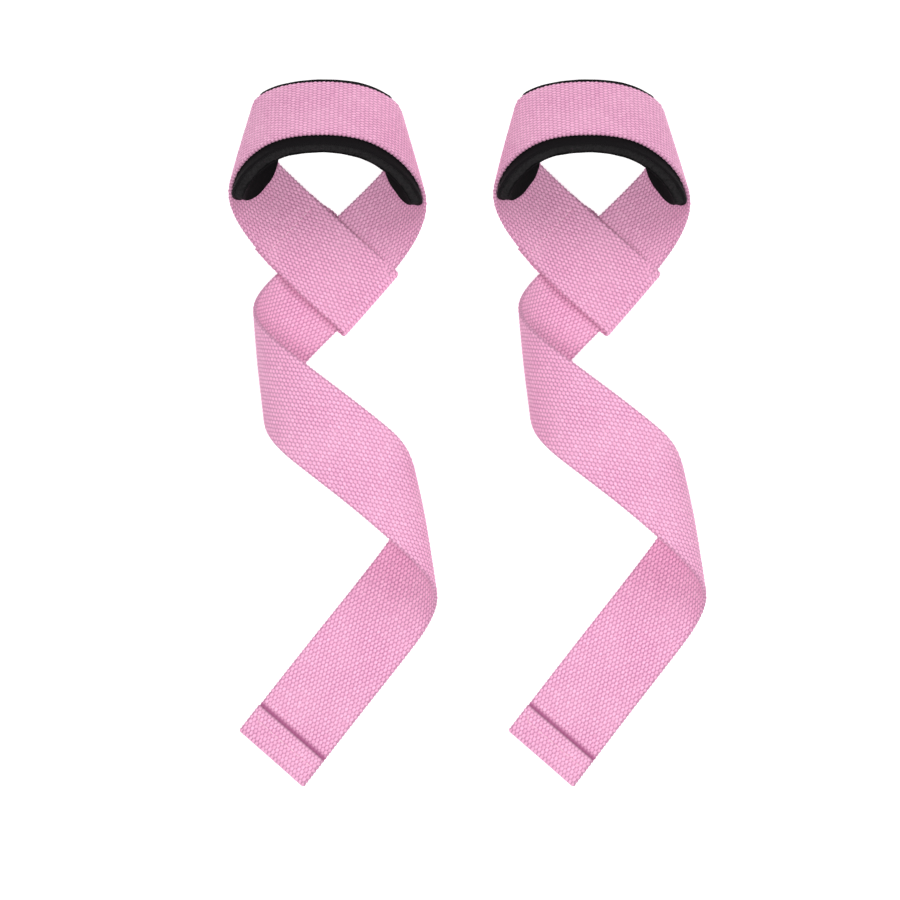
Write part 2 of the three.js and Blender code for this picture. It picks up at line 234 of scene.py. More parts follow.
def loop_frames(unknowns):
    """Half of the wrist loop, turned so that its end has an upright face."""
    slant_share, half_length = unknowns
    shape = [(at, curvature, slant * slant_share) for at, curvature, slant in LOOP_SHAPE]
    frames = walk(shape, np.zeros(3), X_AXIS, -Z_AXIS, half_length)
    end_inward = frames[-1][2]
    tip = math.atan2(end_inward[1], end_inward[2])
    return [(*(rotated(vector, X_AXIS, tip) for vector in frame[:4]), frame[4]) for frame in frames]


def loop_miss(unknowns):
    """How far the arm's end is from lying flat on the mid-plane."""
    centre, _, inward, _, _ = loop_frames(unknowns)[-1]
    return np.array((inward[0], centre[0]))


def tail_frames(unknowns, along):
    """The tail, from the crossing on."""
    first_share, second_share, second_slant = unknowns
    shape = []
    for at, curvature, slant in TAIL_SHAPE:
        second = at > SECOND_CURL_FROM
        share = second_share if second else first_share
        shape.append((at, curvature * share, slant + (second_slant if second else 0)))
    return walk(shape, np.zeros(3), along, Z_AXIS, TAIL_LENGTH + 2 * HALF_WIDTH)


def join_paths(*runs):
    """One path as arrays, from runs of (frames, length, leaning)."""
    rows = []
    offset = 0
    for frames, length, leaning in runs:
        for i, (centre, along, inward, across, lean) in enumerate(frames):
            if i == 0 and rows:
                continue
            at = offset + length * i / (len(frames) - 1)
            rows.append((at, lean, leaning * centre[2], *centre, *(across + along * lean), *inward))
        offset += length
    table = np.array(rows)
    return {
        "at": table[:, 0],
        "lean": table[:, 1],
        "shift": table[:, 2],
        "centre": table[:, 3:6],
        "ruling": table[:, 6:9],
        "inward": table[:, 9:12],
    }


def make_paths():
    """The loop's half length, and the paths over the left arm and over the right arm and tail."""
    slant_share, half_length = settle((1, LOOP_SHAPE[-1][0]), loop_miss)
    loop = loop_frames((slant_share, half_length))
    end = loop[-1]
    loop = [(frame[0] - end[0], *frame[1:]) for frame in loop]
    along = end[1]

    def tail_miss(unknowns):
        centre, _, inward, _, _ = tail_frames(unknowns, along)[-1]
        return np.array((inward[0], inward[1], centre[2] - (REST_HEIGHT - TAIL_HEIGHT)))

    tail = tail_frames(settle((1, 1, 0), tail_miss), along)
    flat_shape = [(0, 0, LOOP_SHAPE[-1][2] * slant_share)]
    straight_length = SLEEVE["straight"] + 2 * HALF_WIDTH
    straight = walk(flat_shape, np.zeros(3), along, end[2], straight_length)
    loop_run = (loop, half_length, LOOP_LEAN)
    right = join_paths(loop_run, (tail, TAIL_LENGTH + 2 * HALF_WIDTH, 0))
    left = join_paths(loop_run, (straight, straight_length, 0))
    return half_length, left, right


CROSSING_AT, LEFT_PATH, RIGHT_PATH = make_paths()


def on_path(path, target, side, lift, mirror):
    """Points on the webbing over one path. A path's rulings are straight lines across it."""
    low = np.zeros(len(target), int)
    high = np.full(len(target), len(path["at"]) - 1)
    while np.any(high - low > 1):
        middle = (low + high) // 2
        before = path["at"][middle] + side * path["lean"][middle] <= target
        low = np.where(before, middle, low)
        high = np.where(before, high, middle)
    reach_low = path["at"][low] + side * path["lean"][low]
    reach_high = path["at"][high] + side * path["lean"][high]
    share = ((target - reach_low) / (reach_high - reach_low))[:, None]
    ends = []
    for index in (low, high):
        point = path["centre"][index] + path["ruling"][index] * side[:, None]
        point += path["inward"][index] * lift[:, None]
        point[:, 0] = point[:, 0] * mirror - path["shift"][index]
        ends.append(point)
    return lerp(ends[0], ends[1], share)


def pull_at(at):
    """The pull at places along the webbing, on a smooth curve through its rows."""
    rows = np.array(PULL, float)
    rows = np.vstack((2 * rows[0] - rows[1], rows, 2 * rows[-1] - rows[-2]))
    place_on = np.clip((at - PULL_FROM) / PULL_SPACING, 0, len(PULL) - 1)
    index = np.minimum(place_on.astype(int), len(PULL) - 2)
    share = (place_on - index)[:, None]
    before, start, end, after = (rows[index + k] for k in range(4))
    start_slope, end_slope = (end - before) / 2, (after - start) / 2
    cubic = 2 * start - 2 * end + start_slope + end_slope
    square = 3 * end - 3 * start - 2 * start_slope - end_slope
    return ((cubic * share + square) * share + start_slope) * share + start


def surface(at, side, lift):
    """Points at distances along, across and above the webbing's middle layer, from its crossing."""
    at, side, lift = (np.asarray(a, float) for a in np.broadcast_arrays(at, side, lift))
    shape = at.shape
    at, side, lift = at.ravel(), side.ravel(), lift.ravel()
    points = np.empty((len(at), 3))
    centres = np.empty((len(at), 3))
    for chosen, path, mirror in ((at >= 0, RIGHT_PATH, 1), (at < 0, LEFT_PATH, -1)):
        if np.any(chosen):
            target = np.abs(at[chosen])
            zero = np.zeros_like(target)
            points[chosen] = on_path(path, target, side[chosen], lift[chosen], mirror)
            centres[chosen] = on_path(path, target, zero, zero, mirror)
    pull = pull_at(at)
    cos, sin = np.cos(np.radians(pull[:, 2])), np.sin(np.radians(pull[:, 2]))
    from_centre = points - centres
    points[:, 0] = centres[:, 0] + cos * from_centre[:, 0] - sin * from_centre[:, 1] + pull[:, 0]
    points[:, 1] = centres[:, 1] + sin * from_centre[:, 0] + cos * from_centre[:, 1] + pull[:, 1]
    apart = smooth(np.abs(at) / LAYERS_APART_FROM) * np.where(at < 0, 1, -1)
    points[:, 2] += (SLEEVE_TOP_HEIGHT + TAIL_HEIGHT) / 2
    points[:, 2] += apart * (SLEEVE_TOP_HEIGHT - TAIL_HEIGHT) / 2
    return points.reshape(*shape, 3)


SLEEVE_FOLD = {
    "direction": -1,
    "at": CROSSING_AT + SLEEVE["straight"],
    "turn": -1,
    "radius": (SLEEVE_TOP_HEIGHT - FLAP_HEIGHT) / 2,
    "flat_height": FLAP_HEIGHT,
    "tuck": SLEEVE["flap_tuck"],
    "closed_from": CROSSING_AT - HALF_WIDTH - SLEEVE["tail_clear"],
    "rise": SLEEVE["flap_rise"],
}
HEM_FOLD = {
    "direction": 1,
    "at": CROSSING_AT + TAIL_LENGTH - LAYER / 2 - WEBBING_THICKNESS / 2,
    "turn": 1,
    "radius": LAYER / 2,
    "flat_height": REST_HEIGHT + LAYER,
    "tuck": 0,
    "closed_from": 2 * (CROSSING_AT + TAIL_LENGTH),
    "rise": SLEEVE["flap_rise"],
}


def folded_surface(fold, along, side, lift):
    """The same surface where the webbing is folded back on itself past fold["at"]."""
    along, side, lift = (np.asarray(a, float) for a in np.broadcast_arrays(along, side, lift))
    direction, turn, radius = fold["direction"], fold["turn"], fold["radius"]
    past = along - fold["at"]
    arc = math.pi * radius
    ahead = surface(direction * np.minimum(along, fold["at"]), side, lift)

    back = np.clip(fold["at"] - (past - arc), 0, fold["at"])
    closed = smooth((fold["closed_from"] - back) / fold["rise"])
    aside = smooth((fold["closed_from"] + 2 * fold["rise"] - back) / (2 * fold["rise"]))
    tucked = side + fold["tuck"] * aside * (1 - TUCK_EASED * closed)
    behind = surface(direction * back, tucked, turn * LAYER - lift)
    behind[..., 2] = lerp(fold["flat_height"] + turn * lift, behind[..., 2], closed)

    angle = np.clip(past / radius, 0, math.pi)
    start = surface(direction * fold["at"], side, 0)
    outward = start - surface(direction * (fold["at"] - 1), side, 0)
    outward /= np.linalg.norm(outward, axis=-1, keepdims=True)
    up = surface(direction * fold["at"], side, 1) - start
    bend = start + outward * (np.sin(angle) * (radius - turn * lift))[..., None]
    bend += up * (turn * radius * (1 - np.cos(angle)) + lift * np.cos(angle))[..., None]
    return np.where((past <= 0)[..., None], ahead, np.where((past >= arc)[..., None], behind, bend))


# ---------- meshes ----------
def make_piece(name, points, faces, material, smooth_faces=True):
    """A mesh object from points in millimetres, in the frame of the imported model."""
    mesh = bpy.data.meshes.new(name)
    mesh.from_pydata((np.asarray(points) * METRES).tolist(), [], faces)
    mesh.polygons.foreach_set("use_smooth", np.full(len(mesh.polygons), smooth_faces))
    mesh.materials.append(material)
    piece = bpy.data.objects.new(name, mesh)
    bpy.context.scene.collection.objects.link(piece)
    return piece


def is_inside_out(points, faces):
    """True if a closed grid of faces has its normals inward."""
    quads = np.array([face for face in faces if len(face) == 4])
    a, b, c, d = (points[quads[:, k]] for k in range(4))
    volume = np.einsum("ij,ij->i", a, np.cross(b, c)) + np.einsum("ij,ij->i", a, np.cross(c, d))
    return volume.sum() < 0


class Slab:
    """A closed slab over a grid of stations along and columns across. Its first and last columns
    are its edges, where the upper and lower skins meet."""

    def __init__(self, stations, columns):
        self.rows = len(stations)
        self.columns = len(columns)
        upper = np.arange(self.rows * self.columns).reshape(self.rows, self.columns)
        inner = self.columns - 2
        lower = np.empty_like(upper)
        lower[:, 0], lower[:, -1] = upper[:, 0], upper[:, -1]
        lower[:, 1:-1] = upper.size + np.arange(self.rows * inner).reshape(self.rows, inner)
        self.upper, self.lower = upper, lower

    def faces(self):
        """Faces of both skins and both ends, and for each face whether it is on the lower skin."""
        faces, below = [], []
        for index, flip in ((self.upper, False), (self.lower, True)):
            corners = (index[:-1, :-1], index[1:, :-1], index[1:, 1:], index[:-1, 1:])
            quads = np.stack(corners[::-1] if flip else corners, axis=-1).reshape(-1, 4)
            faces += quads.tolist()
            below += [flip] * len(quads)
        for row, flip in ((0, False), (self.rows - 1, True)):
            for k in range(self.columns - 1):
                face = [self.upper[row, k], self.upper[row, k + 1],
                        self.lower[row, k + 1], self.lower[row, k]]
                face = [int(corner) for corner in dict.fromkeys(face)]
                faces.append(face[::-1] if flip else face)
                below.append(False)
        return faces, np.array(below)

    def join(self, upper, lower):
        """One array of values from grids of values on the upper and lower skins."""
        flat = upper.reshape(-1, *upper.shape[2:])
        inner = lower[:, 1:-1].reshape(-1, *lower.shape[2:])
        return np.concatenate((flat, inner))


def add_uv(piece, slab, along, side, below, lower_shift):
    """A UV layer in metres along and across the cloth. The lower skin's is shifted along."""
    upper = np.stack(np.broadcast_arrays(along[:, None], side[None, :]), axis=-1)
    values = slab.join(upper, upper) * METRES
    mesh = piece.data
    corner_vertex = np.empty(len(mesh.loops), int)
    mesh.loops.foreach_get("vertex_index", corner_vertex)
    sizes = np.array([polygon.loop_total for polygon in mesh.polygons])
    corners = values[corner_vertex]
    corners[np.repeat(below, sizes), 0] += lower_shift * METRES
    layer = mesh.uv_layers.new(name="Weave")
    layer.data.foreach_set("uv", corners.ravel())


def add_attribute(piece, name, values):
    """A number at each vertex, for the material."""
    attribute = piece.data.attributes.new(name=name, type="FLOAT", domain="POINT")
    attribute.data.foreach_set("value", np.asarray(values, float))


def place(points, offset):
    """Points of a strap whose crossing is at the given distance along X from the left one's."""
    return points + np.array((ORIGIN[0] + offset, ORIGIN[1], 0))


# ---------- the webbing ----------
def webbing_columns():
    """Distances across the webbing, closer together at the rounded selvedges."""
    spacing = WARP_PERIOD / 2 / SAMPLES_PER_YARN
    inner = HALF_WIDTH - SELVEDGE_ROUNDING
    count = math.floor(inner / spacing)
    regular = np.arange(-count, count + 1) * spacing
    edge = HALF_WIDTH - SELVEDGE_ROUNDING * (1 - np.sin(np.radians(SELVEDGE_ANGLES)))
    return np.concatenate((-edge[::-1], regular, edge))


def bead_factors(seed, along, side):
    """An uneven height for each float of yarn."""
    table = np.random.default_rng(seed).uniform(-1, 1, BEAD_TABLE)
    yarn = np.round(side / (WARP_PERIOD / 2)).astype(int) % table.shape[0]
    brick_shift = (yarn % 2) / 2
    float_index = np.round(along / WEFT_PERIOD + brick_shift).astype(int) % table.shape[1]
    return 1 + BEAD_UNEVENNESS * table[yarn, float_index]


def weave_lifts(seed, u, v):
    """How far the floats of the upper and lower skins stand out, as shares of the weave's height."""
    pattern = np.cos(2 * math.pi * u / WEFT_PERIOD) * np.cos(2 * math.pi * v / WARP_PERIOD)
    pattern = pattern * bead_factors(seed, u, v)
    rows = ROW_SHARE * np.cos(4 * math.pi * u / WEFT_PERIOD)
    return pattern + rows, pattern - rows


def selvedge_shape(u, v, from_edge, from_end):
    """The sideways shift of the scalloped selvedges, and the share of painted shade along the edges
    and cut ends.
    """
    scallops = np.cos(4 * math.pi * u / WEFT_PERIOD)
    edge_weight = smooth(1 - from_edge / SCALLOP["reach"])
    shift = np.sign(v) * edge_weight * SCALLOP["depth"] * scallops
    hollow = lerp(1, PAINTED_EDGE_SHADE["between_scallops"], (1 + scallops) / 2)
    # painted shade along the edges, strongest in the hollows where the selvedge goes in
    painted_edge_shade = smooth(1 - from_edge / PAINTED_EDGE_SHADE["reach"]) * hollow
    return shift, np.maximum(painted_edge_shade, smooth(1 - from_end / RAW_END["reach"]))


def webbing_skins(webbing, along, side):
    """Over a grid: lifts of both skins, places across, and shares of painted shade along the edges and
    of painted shadow beside the hem's raw edge.
    """
    u, v = np.meshgrid(along, side, indexing="ij")
    from_edge = HALF_WIDTH - np.abs(v)
    from_end = np.min([np.abs(u - webbing[raw_end]) for raw_end in ("start", "end")], axis=0)
    into = np.clip(1 - from_edge / SELVEDGE_ROUNDING, 0, 1)
    rounding = np.sqrt(1 - into * into)
    whole = smooth(from_end / RAW_END["reach"])
    core = CORE_THICKNESS / 2 * rounding * lerp(RAW_END["thickness"], 1, whole)
    strength = smooth(from_edge / SELVEDGE_ROUNDING) * lerp(RAW_END["weave"], 1, whole)
    inside_scallops = from_edge / SCALLOP["reach"]
    groove = sum(np.exp(-(((u - at) / SEAM_GROOVE["width"]) ** 2)) for at in webbing["seams"])
    groove = groove * SEAM_GROOVE["depth"] * smooth(inside_scallops - 1)
    wave = np.sin(2 * math.pi * u / WAVINESS["length"] + webbing["seed"])
    wave = wave * np.cos(math.pi * v / WEBBING_WIDTH) * WAVINESS["height"] / 2
    above, under = weave_lifts(webbing["seed"], u, v)
    upper = core + WEAVE_HEIGHT * above * strength - groove + wave
    lower = -core + WEAVE_HEIGHT * under * strength + groove + wave
    # painted shadow: the cloth beside the hem's raw edge is coloured darker, over the groove
    shade = np.zeros_like(u)
    for low, high in webbing["groove_and_painted_shadow"]:
        inside = smooth((u - low) / GROOVE_AND_PAINTED_SHADOW["edge"]) * smooth((high - u) / GROOVE_AND_PAINTED_SHADOW["edge"])
        upper = upper - GROOVE_AND_PAINTED_SHADOW["depth"] * inside * smooth(inside_scallops)
        shade += inside
    shift, edge_shade_share = selvedge_shape(u, v, from_edge, from_end)
    return upper, lower, v + shift, edge_shade_share, shade


def make_slab_piece(name, slab, grids, material):
    """A mesh object from grids of points on a slab's skins, and which faces are on the lower one."""
    points = slab.join(*grids)
    faces, below = slab.faces()
    if is_inside_out(points, faces):
        faces = [face[::-1] for face in faces]
    return make_piece(name, points, faces, material), below


def make_webbing(name, webbing, offset, material):
    """A closed length of webbing that is folded back on itself, from its entry in WEBBINGS."""
    start, end = webbing["start"], webbing["end"]
    spacing = WEFT_PERIOD / 2 / SAMPLES_PER_FLOAT
    along = np.linspace(start, end, round((end - start) / spacing) + 1)
    side = webbing_columns()
    upper, lower, shifted, edge_shade_share, shade = webbing_skins(webbing, along, side)
    slab = Slab(along, side)
    grids = [place(folded_surface(webbing["fold"], along[:, None], shifted, lift), offset)
             for lift in (upper, lower)]
    piece, below = make_slab_piece(name, slab, grids, material)
    add_uv(piece, slab, along, side, below, LOWER_WEAVE_SHIFT)
    # painted shade along the edges and cut ends, as a vertex attribute for the colour
    add_attribute(piece, "PaintedEdgeShade", slab.join(edge_shade_share, edge_shade_share))
    # painted shadow beside the hem's raw edge, as a vertex attribute for the colour
    add_attribute(piece, "PaintedShadow", slab.join(shade, np.zeros_like(shade)))
    return piece


# ---------- the pad ----------
PAD_STATIONS = 300
PAD_EDGE_SHARES = (0.965, 0.985, 0.996, 1)  # of the half width, where the columns are close
PAD_INNER_SHARE = 0.94
PAD_INNER_COLUMNS = 46
PAD_WOBBLE = {"from": 0.8, "over": 0.2}  # the outline's wave fades in over this share


def pad_outline(at, length):
    """The pad's half width share at a distance from its middle, with rounded ends."""
    into = np.clip(np.abs(at) - (length - PAD["corner"]), 0, None) / PAD["corner"]
    return lerp(PAD["end_width_share"], 1, np.sqrt(np.clip(1 - into * into, 0, 1)))


def pad_columns():
    """Places across the pad as shares of its half width, closer together at its edges."""
    edge = np.array(PAD_EDGE_SHARES)
    inner = np.linspace(-PAD_INNER_SHARE, PAD_INNER_SHARE, PAD_INNER_COLUMNS)
    return np.concatenate((-edge[::-1], inner, edge))


def uneven(seed, at, waves):
    """A smooth random wave, as a sum of sines of (length, height)."""
    generator = np.random.default_rng(seed)
    total = np.zeros_like(at)
    for length, height in waves:
        total += height * np.sin(2 * math.pi * at / length + generator.uniform(0, 2 * math.pi))
    return total


def make_pad_layer(name, layer, offset, material):
    """One layer of the pad from its row, with rounded edges and a slightly uneven outline."""
    low, high = layer["lifts"]
    seed, waves, half_across = layer["seed"], layer["waves"], layer["half_across"] - layer["inset"]
    length = PAD["half_length"] - layer["inset"]
    along = length * np.sin(np.linspace(-math.pi / 2, math.pi / 2, PAD_STATIONS))
    shares = pad_columns()
    middle = (PAD["near"] + PAD["far"]) / 2
    width = half_across * pad_outline(along, length)
    grid_at, share = np.meshgrid(along, shares, indexing="ij")
    wobble = uneven(seed, grid_at, waves) * np.where(share < 0, -1, 1)
    wobble += uneven(seed + 1, grid_at * np.where(share < 0, 1, -1), waves)
    wobble = wobble * smooth((np.abs(share) - PAD_WOBBLE["from"]) / PAD_WOBBLE["over"])
    side = middle + share * width[:, None] + wobble
    from_edge = np.minimum((1 - np.abs(share)) * width[:, None], length - np.abs(grid_at))
    into = np.clip(1 - from_edge / layer["edge"], 0, 1)
    half = (high - low) / 2 * np.sqrt(np.clip(1 - into * into, 0, 1))
    centre = (high + low) / 2
    slab = Slab(along, shares)
    grid_at = grid_at + PAD["middle_at"]
    grids = [place(surface(grid_at, side, centre + sign * half), offset) for sign in (1, -1)]
    piece, below = make_slab_piece(name, slab, grids, material)
    add_uv(piece, slab, along, middle + shares * half_across, below, 0)
    return piece


# ---------- stitches ----------
STITCH = {"length": 2.5, "pitch": 3.1, "radius": 0.32, "dip": 0.42, "edge_margin": 3}
STITCH_STAND = 1.3  # radii that a stitch stands above the bottom of its groove
STITCH_DRIFT = {"aside": 0.12, "turned": 0.1}  # at most, at random
THREAD_TAPER = 0.06  # share of a stitch that is cut from each pointed end
LOOSE_END = {"length": 2.2, "rise": 0.55, "sway": 1.6, "bend": 2.2}
TUBE_SIDES = 8
TUBE_STATIONS = 9
STEEP = 0.9  # a tangent steeper than this is too close to upright to measure sideways from


def tube(points, radii):
    """Rings round a line of points, with closed ends: (points, faces)."""
    points = np.asarray(points)
    tangents = np.gradient(points, axis=0)
    tangents /= np.linalg.norm(tangents, axis=1, keepdims=True)
    reference = np.where(np.abs(tangents[:, 2:3]) < STEEP, Z_AXIS, X_AXIS)
    first = np.cross(tangents, reference)
    first /= np.linalg.norm(first, axis=1, keepdims=True)
    second = np.cross(tangents, first)
    angles = (np.arange(TUBE_SIDES) * 2 * math.pi / TUBE_SIDES)[None, :, None]
    ring = np.cos(angles) * first[:, None] + np.sin(angles) * second[:, None]
    rings = points[:, None] + ring * np.asarray(radii)[:, None, None]
    faces = []
    for i in range(len(points) - 1):
        for k in range(TUBE_SIDES):
            following = (k + 1) % TUBE_SIDES
            low, high = i * TUBE_SIDES, (i + 1) * TUBE_SIDES
            faces.append((low + k, low + following, high + following, high + k))
    faces.append(tuple(range(TUBE_SIDES))[::-1])
    faces.append(tuple((len(points) - 1) * TUBE_SIDES + k for k in range(TUBE_SIDES)))
    return rings.reshape(-1, 3), faces


def stitch_lines(fold, at, lift_sign, seed, loose_end):
    """The middle lines of a row of stitches across the webbing, which dip into it at their ends."""
    generator = np.random.default_rng(seed)
    reach = HALF_WIDTH - STITCH["edge_margin"]
    starts = np.arange(-reach, reach - STITCH["length"] / 2, STITCH["pitch"])
    share = np.linspace(0, 1, TUBE_STATIONS)
    arch = np.sin(math.pi * share)
    height = CORE_THICKNESS / 2 - SEAM_GROOVE["depth"] + STITCH["radius"] * STITCH_STAND
    lift = lift_sign * (height - STITCH["dip"] * (1 - arch) ** 2)
    most_aside, most_turned = STITCH_DRIFT["aside"], STITCH_DRIFT["turned"]
    lines = []
    for start in starts:
        aside = generator.uniform(-most_aside, most_aside)
        drift = aside + generator.uniform(-most_turned, most_turned) * (share - 1 / 2)
        lines.append(folded_surface(fold, at + drift, start + share * STITCH["length"], lift))
    if loose_end:
        share = np.linspace(0, 1, 2 * TUBE_STATIONS)
        side = starts[-1] + STITCH["length"] + LOOSE_END["length"] * share
        rise = CORE_THICKNESS / 2 + LOOSE_END["rise"] * np.sin(math.pi * share)
        sway = LOOSE_END["sway"] * np.sin(LOOSE_END["bend"] * share)
        lines.append(folded_surface(fold, at + sway, side, lift_sign * rise))
    return lines


def make_stitches(name, fold, at, lift_sign, offset, material, seed, loose_end):
    """A row of separate stitches as one mesh object."""
    points, faces = [], []
    count = 0
    for line in stitch_lines(fold, at, lift_sign, seed, loose_end):
        taper = np.sin(math.pi * np.linspace(THREAD_TAPER, 1 - THREAD_TAPER, len(line)))
        rings, ring_faces = tube(place(line, offset), STITCH["radius"] * np.sqrt(taper))
        points.append(rings)
        faces += [tuple(corner + count for corner in face) for face in ring_faces]
        count += len(rings)
    return make_piece(name, np.concatenate(points), faces, material)


# ---------- materials ----------
# Colours are sRGB values up to 255. Scales are per metre, and bumps are (metres, strength).
MOST_NOISE = (0.3, 0.7)  # the range of most of a noise's values
WIDE_NOISE = (0.2, 0.8)
WEBBING_LOOK = {
    # the first colour is painted shade in the hollows of the weave, between the floats
    "gap_painted_shade": (146, 70, 112),
    "yarn": (239, 167, 206),
    "gap_to_yarn": (-0.8, 0.0),
    "sheen_tint": (255, 225, 238),
    "float_scales": (330, 1090),
    "patch_scale": 45,
    "fibre_scales": (1500, 11000),
    "fibre_turn": 0.5,
    "yarn_and_fibre_height": (0.7, 0.3),
    "bump": (0.00012, 0.8),
    "roughness": (0.78, 0.95),
}
# Rows of (pattern, where it starts to show, where it shows most, how much, colour)
WEBBING_TINTS = (
    # the first row is a painted highlight on the crowns of the floats; the others are random tone of
    # the yarn
    ("bead", 0.4, 1.5, 1.0, (244, 180, 214)),
    ("floats", 0.35, 0.75, 0.6, (206, 134, 174)),
    ("floats", 0.5, 0.2, 0.4, (255, 198, 226)),
    ("patches", *MOST_NOISE, 0.12, (255, 205, 228)),
    ("fibres", 0.35, 0.75, 0.3, (255, 212, 232)),
)
# Rows of (vertex attribute, how much of its colour, colour)
WEBBING_MARKS = (
    # painted shade along the edges and cut ends
    ("PaintedEdgeShade", 0.8, (158, 108, 134)),
    # painted shadow beside the hem's raw edge
    ("PaintedShadow", 0.85, (158, 82, 126)),
)
THREAD_LOOK = {
    # painted shade in the grooves of the twist
    "groove": (226, 162, 196),
    "strand": (253, 210, 232),
    "fuzz": (255, 214, 232),
    "fuzz_share": 0.3,
    "twist_scale": 900.0,
    "twist_unevenness": 1.5,
    "tone_scale": 1200,
    "bump": (0.00008, 0.7),
    "roughness": (0.5, 0.7),
}
JERSEY_LOOK = {
    "wale": 0.0007,
    "course": 0.0009,
    "nap_scale": 2600,
    "crease_scales": (160, 60),
    "dark_to_light": (0.25, 0.8),
    "knit_and_crease_height": (0.5, 0.8),
    "bump": (0.00022, 0.8),
    "roughness": (0.7, 0.9),
}
FOAM_LOOK = {
    "dark": (14, 13, 14),
    "light": (36, 35, 36),
    # the walls are painted lighter than the pores, as painted shade in the pores
    "wall": (46, 45, 46),
    "wall_share": 0.4,
    "pore_scale": 1900.0,
    "pore_to_wall": (0.1, 0.65),
    "grain_scale": 900,
    "lump_scale": 260,
    "cell_grain_and_lump_height": (0.35, 0.5, 0.6),
    "bump": (0.0003, 0.9),
    "roughness": (0.82, 0.95),
}
FILM_LOOK = {
    "dark": (196, 190, 180),
    "light": (222, 218, 210),
    "wrinkle_scale": 300,
    "bump": (0.0001, 0.5),
    "roughness": (0.3, 0.5),
}
FLOOR_LOOK = {"dark": 0.75, "light": 0.77, "grain_scale": 400, "roughness": 0.8, "glow": 0.6}


def linear(red, green, blue):
    """A linear RGBA colour from sRGB values up to 255, by the sRGB standard's curve."""
    values = []
    for value in (red, green, blue):
        share = value / 255
        values.append(share / 12.92 if share <= 0.04045 else ((share + 0.055) / 1.055) ** 2.4)
    return (*values, 1.0)


class Shader:
    """A short way to write a node material."""

    def __init__(self, name):
        self.material = bpy.data.materials.new(name)
        self.material.use_nodes = True
        self.tree = self.material.node_tree
        self.surface = self.tree.nodes["Principled BSDF"]

    def node(self, kind, inputs=None, **settings):
        """A node with its settings and its inputs, which are values or other nodes' outputs."""
        node = self.tree.nodes.new(kind)
        for key, value in settings.items():
            setattr(node, key, value)
        for key, value in (inputs or {}).items():
            self.put(node.inputs[key], value)
        return node

    def put(self, socket, value):
        """Sets a socket to a value or links an output to it."""
        if isinstance(value, bpy.types.NodeSocket):
            self.tree.links.new(value, socket)
        else:
            socket.default_value = value

    def math(self, operation, first, second=0.0):
        """The result of one sum, product or function."""
        return self.node("ShaderNodeMath", {0: first, 1: second}, operation=operation).outputs[0]

    def spread(self, value, from_low, from_high, to_low=0.0, to_high=1.0):
        """A value carried smoothly from one range to another."""
        inputs = {"Value": value, "From Min": from_low, "From Max": from_high,
                  "To Min": to_low, "To Max": to_high}
        return self.node("ShaderNodeMapRange", inputs, interpolation_type="SMOOTHSTEP").outputs[0]

    def mix(self, share, first, second, blend="MIX"):
        """A mix of two colours."""
        node = self.node("ShaderNodeMix", data_type="RGBA", blend_type=blend)
        for key, value in ((0, share), (6, first), (7, second)):
            self.put(node.inputs[key], value)
        return node.outputs[2]

    def noise(self, vector, scale, detail=2.0, roughness=0.5):
        """Noise between 0 and 1 at a scale per unit of its vector."""
        inputs = {"Vector": vector, "Scale": scale, "Detail": detail, "Roughness": roughness}
        return self.node("ShaderNodeTexNoise", inputs).outputs[0]

    def stretch(self, vector, x, y, z=1.0):
        """A vector with its parts multiplied."""
        node = self.node("ShaderNodeVectorMath", {0: vector, 1: (x, y, z)}, operation="MULTIPLY")
        return node.outputs[0]

    def product(self, first, second):
        """The product of two values."""
        return self.math("MULTIPLY", first, second)

    def total(self, first, second):
        """The sum of two values."""
        return self.math("ADD", first, second)

    def ripple(self, operation, value, length):
        """A sine or cosine of a distance, once over in each length."""
        return self.math(operation, self.product(value, 2 * math.pi / length))

    def object_place(self):
        """The place in the object's own coordinates."""
        return self.node("ShaderNodeTexCoord").outputs["Object"]

    def cloth_place(self):
        """The place on the cloth, in metres along and across it."""
        return self.node("ShaderNodeUVMap", uv_map="Weave").outputs[0]

    def bump(self, height, distance, strength):
        """Bump of a height between 0 and 1 that stands `distance` metres high."""
        inputs = {"Height": height, "Distance": distance, "Strength": strength}
        self.put(self.surface.inputs["Normal"], self.node("ShaderNodeBump", inputs).outputs[0])

    def finish(self, colour, roughness, **constants):
        """Sets the colour, the roughness and the numbers that are the same all over."""
        self.put(self.surface.inputs["Base Color"], colour)
        self.put(self.surface.inputs["Roughness"], roughness)
        for key, value in constants.items():
            self.surface.inputs[key.replace("_", " ")].default_value = value
        return self.material


